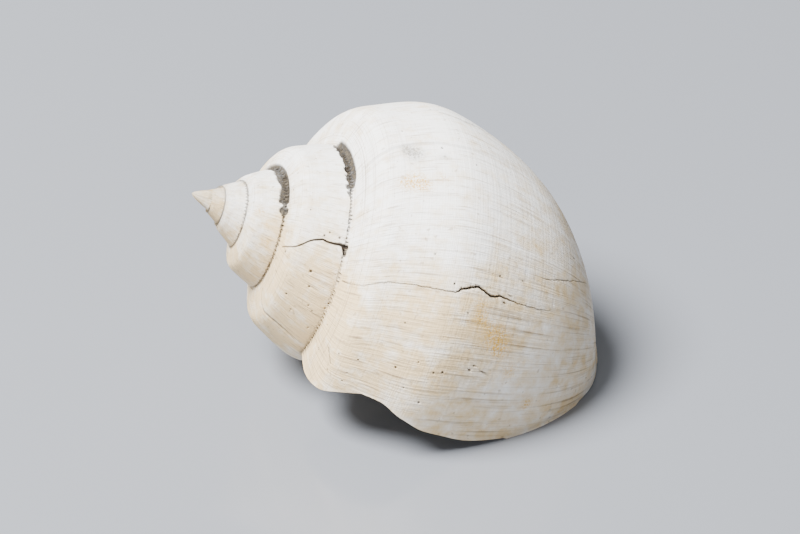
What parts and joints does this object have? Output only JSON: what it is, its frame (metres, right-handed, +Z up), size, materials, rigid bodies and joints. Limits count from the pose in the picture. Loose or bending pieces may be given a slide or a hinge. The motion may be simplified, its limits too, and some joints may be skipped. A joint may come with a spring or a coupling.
{
  "type": "fossil natica shell",
  "caption": "Fossil sea-snail shell with a small pointed spire, a large rounded last whorl and a wide open mouth, lying on its side.",
  "frame": {"origin": "centre of the bounding box in plan, on the surface that the shell rests on", "axes": "+X from the pointed tip towards the shell's base, level; +Z up; -Y towards the open mouth's side"},
  "size_m": [0.0534, 0.0457, 0.0349],
  "materials": {
    "chalky_ivory": "matt, chalky, with faint growth lines and sandy sediment in the suture"
  },
  "bodies": {
    "root": {"shell": "chalky_ivory"}
  },
  "joints": []
}
